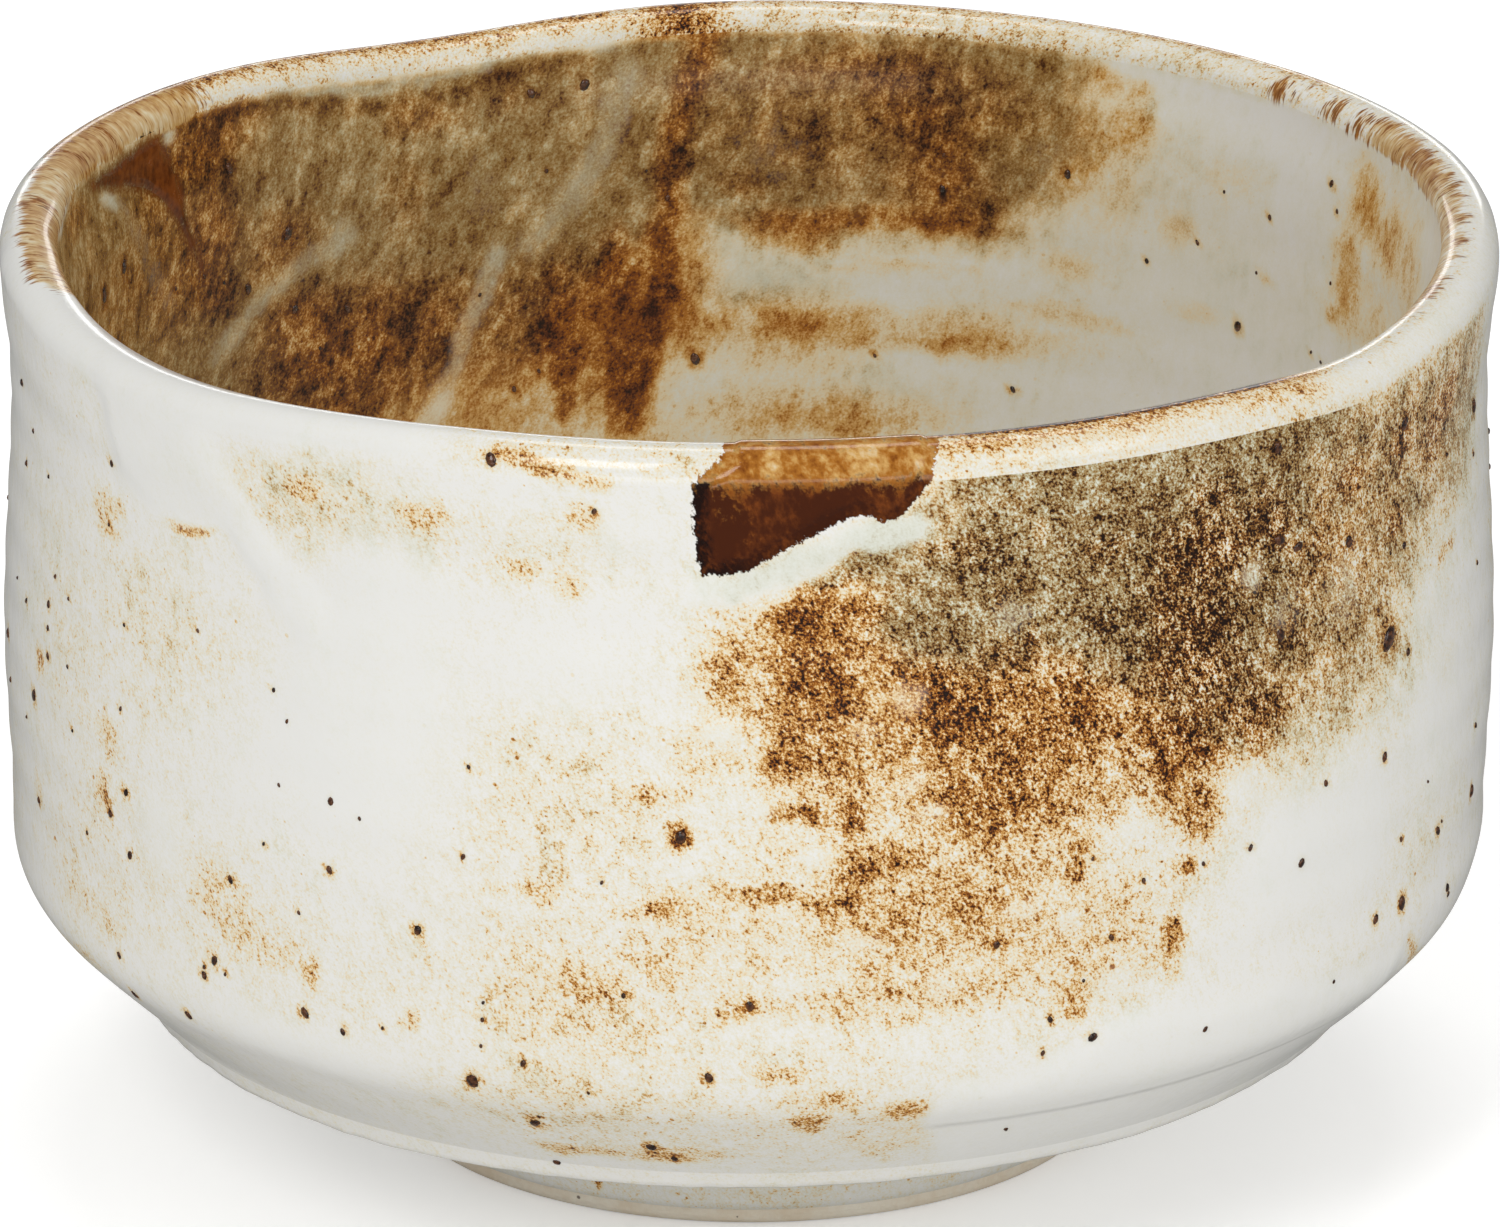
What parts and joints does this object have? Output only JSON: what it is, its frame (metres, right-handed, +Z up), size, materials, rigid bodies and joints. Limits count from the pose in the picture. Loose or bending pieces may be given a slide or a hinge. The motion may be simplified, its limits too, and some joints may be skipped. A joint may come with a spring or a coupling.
{
  "type": "matcha bowl",
  "caption": "Deep upright stoneware tea bowl with a rounded lip, drawn-in waist, trimmed ledge and low foot ring, glazed white with iron panels; for whisking and drinking powdered tea.",
  "frame": {"origin": "on the table under the bowl's centre, in the plane of the foot ring's tread", "axes": "+Z up along the axis the bowl was thrown on, -Y towards the front with the outer iron panel, +X to the right seen from the front"},
  "size_m": [0.1208, 0.1208, 0.0764],
  "materials": {
    "stoneware": "matte",
    "foot_stoneware": "matte",
    "white_glaze_outer": "gloss",
    "white_glaze_inner": "gloss",
    "lip_glaze": "gloss",
    "white_glaze_foot": "satin",
    "iron_glaze_outer": "gloss",
    "iron_glaze_inner": "gloss"
  },
  "bodies": {
    "root": {"clay_body": "stoneware", "foot_ring": "foot_stoneware", "outer_glaze": "white_glaze_outer", "inner_glaze": "white_glaze_inner", "rim_glaze": "lip_glaze", "foot_glaze": "white_glaze_foot", "iron_panel_outer": "iron_glaze_outer", "iron_panel_inner": "iron_glaze_inner"}
  },
  "joints": []
}
